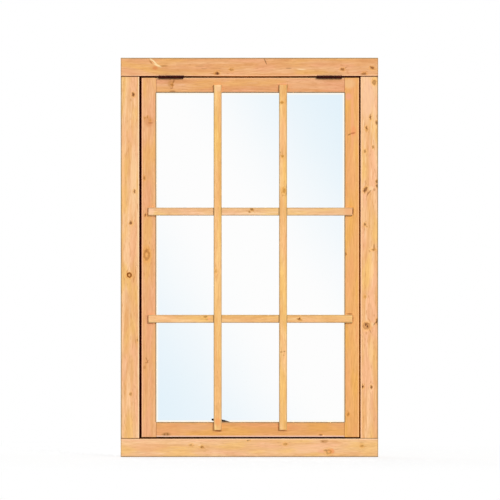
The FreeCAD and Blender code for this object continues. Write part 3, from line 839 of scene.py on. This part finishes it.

# %% [markdown]
# ## The sash's timber
#
# The sash is a shade deeper and redder than the frame. Its stiles run through from top to bottom,
# so the line of painted shade on their inner arris lies only beside the glass. Thin lines of painted
# shade lie on the right stile at the ends of the level bars, where they lap over it.

# %% The stiles
SASH_FACE = Vector((45 * MM, 0, 45 * MM))
SIGHT_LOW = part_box("sash_left_stile")[0] + SASH_FACE
SIGHT_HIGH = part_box("sash_right_stile")[1] - SASH_FACE
SIGHT_SPAN = (SIGHT_LOW.z, SIGHT_HIGH.z)
UPPER_BAR = middle_of("bar_horizontal_upper").z / MM
LOWER_BAR = middle_of("bar_horizontal_lower").z / MM
BAR_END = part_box("bar_horizontal_upper")[1].x / MM

LEFT_STILE_KNOTS = [
    (-315, 1021, 3, 2, 0.3, 0.2), (-307, 1025, 3, 2, 0.4, 0.2), (-299, 1014, 3, 2, 0.3, 0.2),
    (-316, 839, 5, 3, 0.45, 0.3), (-313, 728, 3.4, 2.6, 0.8, 0.3), (-309, 609, 14, 8, 0, 0.45),
    (-312, 619, 2.5, 2, 0.35, 0.2), (-306, 606, 2.5, 2, 0.4, 0.2),
]
LEFT_STILE_MARKS = [
    (-303, 1010, 18, 13, 0, "D28A50", 0.6), (-298, 1006, 2.2, 8, 0, "A86030", 0.6),
    (-309, 293, 8, 2, -25, "A86832", 0.6), (-306, 288, 6, 2, 30, "A86832", 0.6),
    (-309, 284, 2, 7, 0, "A86832", 0.55), (-316, 270, 6, 4, 0, "B07038", 0.5),
]
RIGHT_STILE_KNOTS = [(290, 611, 4, 3, 0.55, 0.4), (297, 129, 4.5, 3.5, 0.45, 0.4)]
RIGHT_STILE_MARKS = [
    # The first two marks are thin lines of painted shade beside the ends of the level bars.
    (BAR_END + 1.7, UPPER_BAR, 12.5, 2.0, 0, "6A2E00", 0.95),
    (BAR_END + 1.5, LOWER_BAR, 12.5, 1.7, 0, "7A3C08", 0.8),
    (BAR_END - 9, LOWER_BAR + 15, 2.2, 10, 0, "8A5426", 0.7), (298, 1085, 12, 10, 0, "F4A888", 0.7),
    (300, 1124, 16, 20, 0, "EFC08A", 0.6), (310, 1010, 110, 5, 0, "F2A878", 0.6),
    (314, 982, 16, 8, 0, "F09860", 0.6), (301, 971, 2.6, 6, -25, "9A602A", 0.7),
    (311, 975, 2.8, 8, -12, "B8683A", 0.75),
]
# Painted highlight, and painted light and shade, beside the gaps at the stiles.
LEFT_STILE_GAP = {**LEFT_JAMB_GAP, "rubbed": "F8BC90"}
RIGHT_STILE_GAP = {
    "rubbed": "FFC688",
    "stain": ("BE6A08", "B05800", "8A3A10"),
    "dirt": ("BE6400", "A84C00", "5A0A00"),
    "reach": (2.2, 0.9),
}

timber(
    "sash_left_stile", "EEB37D", 6.3, (10, 75), LEFT_STILE_KNOTS, LEFT_STILE_MARKS,
    look=(0.7, 0.55, 0.65), edges=("gap", "weather"), gap=LEFT_STILE_GAP, edge_span=SIGHT_SPAN,
)
timber(
    "sash_right_stile", "F1B36D", 7.9, (-14, 70), RIGHT_STILE_KNOTS, RIGHT_STILE_MARKS,
    look=(0.7, 0.42, 0.65), edges=("weather", "gap"), gap=RIGHT_STILE_GAP, edge_span=SIGHT_SPAN,
)

# %% [markdown]
# The rails stop against the stiles, so the joints show as short upright lines at the rails' ends.
# The left ones are darker than the right ones.

# %% The rails
TOP_RAIL_KNOTS = [(-232, 1121, 3, 3, 0.45, 0.3)]
TOP_RAIL_MARKS = [
    (-238, 1123, 9, 11, 0, "C88A4C", 0.65), (-229, 1129, 8.5, 2.6, 65, "A0622A", 0.75),
    (-231.5, 1116, 6, 2, -81, "AC6830", 0.65), (-235, 1110.5, 5, 2, -6, "AC6830", 0.65),
    (-235, 1121.3, 4.5, 2.2, 0, "98602A", 0.65), (-232, 1101, 10, 3, 0, "8E5832", 0.6),
    # The mark at x 114.7 is a line of painted shade beside the top end of the right bar.
    (-205, 1121, 14, 2, 0, "F2BC90", 0.6), (114.7, 1114, 1.8, 11, 0, "BE8850", 0.9),
]
BOTTOM_RAIL_KNOTS = [(215, 66, 4, 3, 0.8, 0.4)]
BOTTOM_RAIL_MARKS = [
    (-251, 68, 15, 6, 0, "B07C46", 0.8), (-256, 67, 2.2, 5, 0, "8A5A2A", 0.7),
    (-246, 68, 2.2, 5, 0, "8A5A2A", 0.7), (40, 82, 60, 10, 0, "E0A058", 0.5),
    # The mark at x -94 is painted shadow below the foot of the left bar.
    (-150, 90, 70, 9, 0, "E8B080", 0.4), (-94, 78, 12, 2.2, 0, "B06C3C", 0.85),
]
# Painted highlight, and painted light and shade, beside the gaps at the rails.
TOP_RAIL_GAP = {
    "rubbed": "EAB27E",
    "stain": ("F8D0B0", "F6A860", "F8D0B0"),
    "dirt": ("6A0400", "F0A860", "6A0600"),
    "reach": (0.8, 0.3),
}
BOTTOM_RAIL_GAP = {
    "rubbed": "F4C8AE",
    "stain": ("F2C494", "F4C8B0", "F4C8B0"),
    "dirt": ("7A3E00", "480000", "480000"),
    "reach": (1.4, 0.7),
}
RAIL_JOINTS = ((SIGHT_LOW.x, 0.3), (SIGHT_HIGH.x, 0.12))

timber(
    "sash_top_rail", "EBAE7A", 8.3, (7, 60), TOP_RAIL_KNOTS, TOP_RAIL_MARKS,
    look=(1.0, 0.8, 0.7), edges=("weather", "gap"), gap=TOP_RAIL_GAP, joints=RAIL_JOINTS,
)
timber(
    "sash_bottom_rail", "EBAC6C", 9.1, (-5, 70), BOTTOM_RAIL_KNOTS, BOTTOM_RAIL_MARKS,
    look=(1.0, 0.5, 0.7), edges=("gap", "weather"), gap=BOTTOM_RAIL_GAP, joints=RAIL_JOINTS,
)

# %% [markdown]
# ## The bars and the beads
#
# The bars are thin strips of the palest pine. The upright ones run through, and the level ones
# meet them at halved joints, which show as short dark lines. Painted shade makes the line on the
# left of each crossing darker than the one on its right. Their arrises are only eased, so they hold
# a fainter line of painted shade.

# %% The bars
CROSSINGS = [corner.x for side in ("left", "right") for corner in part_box("bar_vertical_" + side)]
# The higher shares, on the left of each crossing, add painted shade to the joint lines.
BAR_JOINTS_AND_SHADE = list(zip(CROSSINGS, (0.7, 0.12, 0.7, 0.12)))
LEFT_BAR_KNOTS = [(-101, 560, 5, 2, 0.3, 0.2)]
LEFT_BAR_MARKS = [
    # The first two marks are a painted highlight on the lit top end of the bar.
    (-94, 1110, 11, 11, 0, "F4C694", 0.8), (-93, 1118, 3.5, 9, 0, "FED49E", 0.8),
    (-96, 107, 13, 9, 0, "F2A05E", 0.6), (-96, 84, 2.5, 9, 0, "FFCE88", 0.6),
]
RIGHT_BAR_KNOTS = [(98, 1067, 3, 4, 0.2, 0.3), (99, 904, 3, 3, 0.3, 0.3), (104, 803, 6, 4, 0.2, 0.3)]
RIGHT_BAR_MARKS = [
    (97.5, 1067, 3.4, 6.5, 0, "B87E42", 0.75), (96.4, 907, 4.5, 1.6, -47, "BA8238", 0.7),
    (101, 906.3, 4, 1.8, 41, "B87E34", 0.75), (93.9, 917, 2.6, 2, 0, "B09048", 0.6),
    (104.5, 803, 6.5, 2.6, 12, "B87A30", 0.75), (100, 797.5, 2, 5, 0, "BE8038", 0.7),
    (102.5, 787.6, 1.8, 5, 0, "CE9048", 0.6), (111, 804, 17, 2.4, 0, "9A6C38", 0.7),
    (96, 316.5, 2.4, 4.5, 0, "B47C38", 0.7), (105.5, 318, 2.6, 3.2, 0, "AA7A34", 0.75),
    (103.4, 306.5, 2.4, 3, 0, "CE9048", 0.6),
]
UPPER_BAR_KNOTS = [(7, 745, 4, 3, 0.5, 0.4)]
UPPER_BAR_MARKS = [
    (7.5, 746.5, 4, 3.6, -20, "7E4612", 0.8), (11.5, 744, 3.5, 5, 0, "AE703A", 0.65),
    (-0.3, 738.5, 3, 4, 0, "AA7630", 0.75), (9.5, 736.5, 5, 2.4, 0, "FED8A4", 0.7),
    (299, 739, 15, 18, 0, "EDAE78", 0.85), (-296, 739, 10, 16, 0, "FBC9A4", 0.6),
]
LOWER_BAR_KNOTS = [(-132, 422, 4.5, 2.8, 0.55, 0.4), (151, 416, 4.5, 3.4, 0.9, 0.5)]
LOWER_BAR_MARKS = [(-121, 416.5, 5, 5, 0, "FFB07C", 0.6), (155, 413, 5, 3, -20, "A86A30", 0.6)]

timber("bar_vertical_left", "F7C47D", 10.7, (4, 90), LEFT_BAR_KNOTS, LEFT_BAR_MARKS)
timber("bar_vertical_right", "F7C480", 11.9, (-4, 90), RIGHT_BAR_KNOTS, RIGHT_BAR_MARKS)
timber(
    "bar_horizontal_upper", "F7CA98", 12.1, (6, 80), UPPER_BAR_KNOTS, UPPER_BAR_MARKS, joints=BAR_JOINTS_AND_SHADE,
)
timber(
    "bar_horizontal_lower", "F5C384", 13.3, (-7, 80), LOWER_BAR_KNOTS, LOWER_BAR_MARKS, joints=BAR_JOINTS_AND_SHADE,
)

# %% [markdown]
# Inside, beads hold the glass. They are pinned to the sash with a small brad about every 160 mm.
# The brads are driven just below the face, so only their dark heads show, and a round mark on the
# inner face is enough for each. Such thin strips are cut from clear timber, without knots.

# %% The beads
BRAD_STEP = 160 * MM
BRAD_HEAD = 1.3


def brad_heads(name):
    """The marks of the brads along the middle of a bead."""
    low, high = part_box(name)
    axis = 2 if high.z - low.z > high.x - low.x else 0
    count = round((high[axis] - low[axis]) / BRAD_STEP)
    heads = []
    for number in range(count):
        spot = middle_of(name) / MM
        spot[axis] = (low[axis] + (number + 0.5) * (high[axis] - low[axis]) / count) / MM
        heads.append((spot.x, spot.z, BRAD_HEAD, BRAD_HEAD, 0, "2E2620", 0.95))
    return heads


for number, edge_name in enumerate(("top", "bottom", "left", "right")):
    bead = "glazing_bead_" + edge_name
    bead_seed = 14.5 + 1.3 * number
    timber(bead, "EAAF76", bead_seed, (5, 100), (), brad_heads(bead), marked_inside=True)

# %% [markdown]
# ## The glass
#
# Glass shows itself by what it does to the light behind it. This sheet is clear along the diagonal
# from its top left to its bottom right, and carries a painted reflection of sky, a very pale blue,
# towards the other two corners. The painted reflection is set in the sheet's own colour, by the
# distance from that diagonal. Beside the sash the sheet carries a painted reflection of the warm
# timber.

# %% The painted reflections in the glass
DIAGONAL = Vector((0.83, 0, 0.56)).normalized()
SKY_REFLECTION_SPAN = (0.05, 0.55)
TIMBER_REFLECTION_RIM = (7 * MM, 3 * MM)
glass_low, glass_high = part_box("glass_pane")


def painted_glass_reflections(nodes, point):
    """Clear along the diagonal, a painted pale blue sky reflection away from it, and a painted warm
    reflection of the timber beside the sash.
    """
    offset = nodes.vectors("SUBTRACT", point, middle_of("glass_pane"))
    across = nodes.vectors("DOT_PRODUCT", offset, DIAGONAL, "Value")
    ripple = nodes.noise(point, (5, 5, 5), 21.0)
    away = abs(across + (ripple - 0.5) * 0.05)
    sky_reflection = nodes.mix(nodes.smooth(away, *SKY_REFLECTION_SPAN), linear("FDFDFD"), linear("E2F1FA"))
    half = (SIGHT_HIGH - SIGHT_LOW) / 2
    from_middle = nodes.vectors("SUBTRACT", point, (SIGHT_LOW + SIGHT_HIGH) / 2)
    sideways = nodes.part(from_middle, "X")
    to_stile = half.x - abs(sideways)
    to_rail = half.z - abs(sideways.other("Z"))
    to_sash = nodes.maths("MINIMUM", to_stile, to_rail)
    return nodes.mix(nodes.smooth(to_sash, *TIMBER_REFLECTION_RIM), sky_reflection, linear("FFFBF0"))


print("glass size:", [round(side, 3) for side in glass_high - glass_low])

# %% [markdown]
# The sheet's reflections are kept weak, because the white around the window would otherwise lie
# over the black stay like a veil. A renderer takes glass for solid when it looks for the lamps, so
# those rays find a clear sheet instead, and the bars keep their light.

# %% The glass finish
WEAK_REFLECTION = (0.15, 0.15, 0.15, 1)
CLEAR_SHEET = (0.94, 0.96, 0.97, 1)


def clear_glass():
    material, nodes = new_finish("clear_glass")
    point = nodes.here()
    waves = nodes.noise(point, (7, 7, 7), 23.0, 1.0)
    sheet = {
        "Base Color": painted_glass_reflections(nodes, point),
        "Roughness": 0.0,
        "IOR": 1.45,
        "Transmission Weight": 1.0,
        "Specular Tint": WEAK_REFLECTION,
        "Normal": nodes.bump(waves, 0.05, 1 * MM),
    }
    seeks_lamp = nodes.add("ShaderNodeLightPath", {}, {}, "Is Shadow Ray")
    clear = nodes.add("ShaderNodeBsdfTransparent", {}, {"Color": CLEAR_SHEET})
    either = {0: seeks_lamp, 1: nodes.principled(sheet), 2: clear}
    nodes.surface(nodes.add("ShaderNodeMixShader", {}, either))
    return material


dress("glass_pane", clear_glass())
print("glass thickness in millimetres:", round((glass_high.y - glass_low.y) / MM, 1))

# %% [markdown]
# ## The hinges
#
# The hinges are steel with a dark brown coat. A plain colour would look like plastic, so two
# noises work on it: a broad one makes the coat a little uneven, in colour and in gloss, and a fine
# one gives it the grit of a sprayed coat.

# %% The hinge finish
def brown_coat():
    material, nodes = new_finish("brown_coated_steel")
    point = nodes.here()
    cloud = nodes.noise(point, (90, 90, 90), 31.0, 4.0)
    grit = nodes.noise(point, (900, 900, 900), 33.0, 2.0)
    coat = {
        "Base Color": nodes.mix(nodes.smooth(cloud, 0.35, 0.7), linear("2C0A04"), linear("401208")),
        "Roughness": 0.42 + cloud * 0.2,
        "Specular IOR Level": 0.08,
        "Normal": nodes.bump(grit, 0.25, 0.3 * MM),
    }
    nodes.surface(nodes.principled(coat))
    return material


print("hinge pieces:", dress("hinge_", brown_coat()))

# %% [markdown]
# ## The stay
#
# The stay is black iron. Its skin is slightly hammered. On the side that faces the room the coat
# has gone a little grey where the arm is handled and where it drops onto its pegs, so a mask along
# the arm holds the wear to those places, and the dents decide where it breaks through.

# %% The stay finish
HANDLE_START = -20 * MM
HANDLE_FADE = 60 * MM
HANDLED_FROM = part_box("stay_arm")[0].y + 1 * MM
PEG_WEAR = 14 * MM
PEGS = ("stay_peg_left", "stay_peg_right")


def black_iron():
    material, nodes = new_finish("black_iron")
    point = nodes.here()
    dents = nodes.noise(point, (170, 170, 170), 41.0, 1.0)
    cloud = nodes.noise(point, (40, 40, 40), 43.0, 4.0)
    along = nodes.part(point, "X")
    room_side = nodes.smooth(along.other("Y"), HANDLED_FROM, HANDLED_FROM + 3 * MM)
    worn = nodes.smooth(along, HANDLE_START, HANDLE_START - HANDLE_FADE)
    for peg in PEGS:
        on_peg = line_at(nodes, along, middle_of(peg).x, PEG_WEAR)
        worn = nodes.maths("MAXIMUM", worn, on_peg)
    colour = nodes.mix(nodes.smooth(cloud, 0.4, 0.75), linear("0E0A08"), linear("201A17"))
    grey = worn * room_side * nodes.smooth(dents, 0.5, 0.7)
    iron = {
        "Base Color": nodes.mix(grey, colour, linear("4C4A48")),
        "Roughness": 0.4 + cloud * 0.25,
        "Specular IOR Level": 0.12,
        "Normal": nodes.bump(dents, 0.4, 0.6 * MM),
    }
    nodes.surface(nodes.principled(iron))
    return material


print("stay pieces:", dress("stay_", black_iron()))

# %% [markdown]
# Six round-head screws hold the stay's plates. A dome stretched from a sphere would have no edge
# at its foot, so the head is turned like a lathe would turn it: a short shank, a flat underside
# and a low dome, spun around the axis.

# %% Turn one screw
HEAD_RADIUS = 3.7 * MM
HEAD_HEIGHT = 1.8 * MM
SHANK_RADIUS = 1.9 * MM
SHANK_LENGTH = 1.8 * MM
DOME_STEPS = 6
TURN_STEPS = 24


def turned_screw():
    """A screw head that sits on the plane z = 0, with its shank below."""
    outline = [(0, -SHANK_LENGTH), (SHANK_RADIUS, -SHANK_LENGTH), (SHANK_RADIUS, 0), (HEAD_RADIUS, 0)]
    for step in range(1, DOME_STEPS + 1):
        angle = math.pi / 2 * step / DOME_STEPS
        outline.append((HEAD_RADIUS * math.cos(angle), HEAD_HEIGHT * math.sin(angle)))
    shape = bmesh.new()
    points = [shape.verts.new((radius, 0, height)) for radius, height in outline]
    lines = [shape.edges.new(pair) for pair in zip(points, points[1:])]
    bmesh.ops.spin(
        shape, geom=points + lines, axis=(0, 0, 1), cent=(0, 0, 0), angle=2 * math.pi, steps=TURN_STEPS,
        use_duplicate=False,
    )
    bmesh.ops.remove_doubles(shape, verts=shape.verts[:], dist=0.01 * MM)
    bmesh.ops.recalc_face_normals(shape, faces=shape.faces[:])
    return mesh_from(shape, "screw")


blank_screw = turned_screw()
print("faces of the turned screw:", len(blank_screw.polygons))

# %% [markdown]
# The slot is sawn out of the turned head with a thin block, as a saw would cut it. A Boolean
# modifier does the cut, and its result is kept as a plain mesh, so the block can go.

# %% Saw its slot
SLOT_WIDTH = 0.9 * MM


def with_slot(mesh):
    """The same screw with its slot."""
    block = bmesh.new()
    bmesh.ops.create_cube(block, size=1.0)
    slot_size = Matrix.Diagonal((4 * HEAD_RADIUS, SLOT_WIDTH, HEAD_HEIGHT, 1))
    slot_place = Matrix.Translation((0, 0, HEAD_HEIGHT))
    bmesh.ops.transform(block, matrix=slot_place @ slot_size, verts=block.verts[:])
    screw = placed("screw", mesh)
    saw = placed("saw", mesh_from(block, "saw"))
    cut = screw.modifiers.new("slot", "BOOLEAN")
    cut.operation = "DIFFERENCE"
    cut.solver = "EXACT"
    cut.object = saw
    ready = screw.evaluated_get(bpy.context.evaluated_depsgraph_get())
    result = bpy.data.meshes.new_from_object(ready)
    bpy.data.objects.remove(screw)
    bpy.data.objects.remove(saw)
    return result


slotted_screw = with_slot(blank_screw)
print("faces of the slotted screw:", len(slotted_screw.polygons))

# %% [markdown]
# The screws sit in the holes of the two peg plates and of the bracket. Each one stopped at its
# own turn when it was tight, so no two slots point the same way.

# %% Find their places
PEG_SCREW_SPACING = 26 * MM
BRACKET_SCREW_SPACING = 31 * MM
BRACKET_PLATE_HEIGHT = 26 * MM
PLATE_THICKNESS = 2 * MM

screw_places = []
for number, peg in enumerate(PEGS):
    for half in (-0.5, 0.5):
        turn = Matrix.Rotation(0.7 + 1.1 * number + 2.3 * half, 4, "Z")
        spot = middle_of(peg)
        spot.x += half * PEG_SCREW_SPACING
        spot.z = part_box(peg)[0].z + PLATE_THICKNESS
        screw_places.append(Matrix.Translation(spot) @ turn)
into_room = Matrix.Rotation(-math.pi / 2, 4, "X")
for half in (-0.5, 0.5):
    turn = Matrix.Rotation(0.4 + 1.9 * half, 4, "Z")
    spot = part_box("stay_bracket")[0] + Vector((0, PLATE_THICKNESS, BRACKET_PLATE_HEIGHT / 2))
    spot.x = middle_of("stay_bracket").x + half * BRACKET_SCREW_SPACING
    screw_places.append(Matrix.Translation(spot) @ into_room @ turn)
print("places for screws:", len(screw_places))

# %% [markdown]
# A screwdriver slips, so the black of a screw is rubbed to bright steel in patches. All six go
# into one mesh, which rides on the window's only body.

# %% Drive the screws
def rubbed_iron():
    material, nodes = new_finish("rubbed_screw_iron")
    point = nodes.here()
    rubbed = nodes.smooth(nodes.noise(point, (420, 420, 420), 47.0, 2.0), 0.38, 0.58)
    steel = {
        "Base Color": nodes.mix(rubbed, linear("1C1C1D"), linear("8E8C88")),
        "Roughness": 0.5 - rubbed * 0.15,
        "Metallic": rubbed,
    }
    nodes.surface(nodes.principled(steel))
    return material


screws = bmesh.new()
for screw_place in screw_places:
    driven = slotted_screw.copy()
    driven.transform(screw_place)
    screws.from_mesh(driven)
stay_screws = placed("stay_screws", mesh_from(screws, "stay_screws"))
stay_screws.data.materials.append(rubbed_iron())
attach(stay_screws, "root")
print("screws driven:", len(screw_places), "faces:", len(stay_screws.data.polygons))

# %% [markdown]
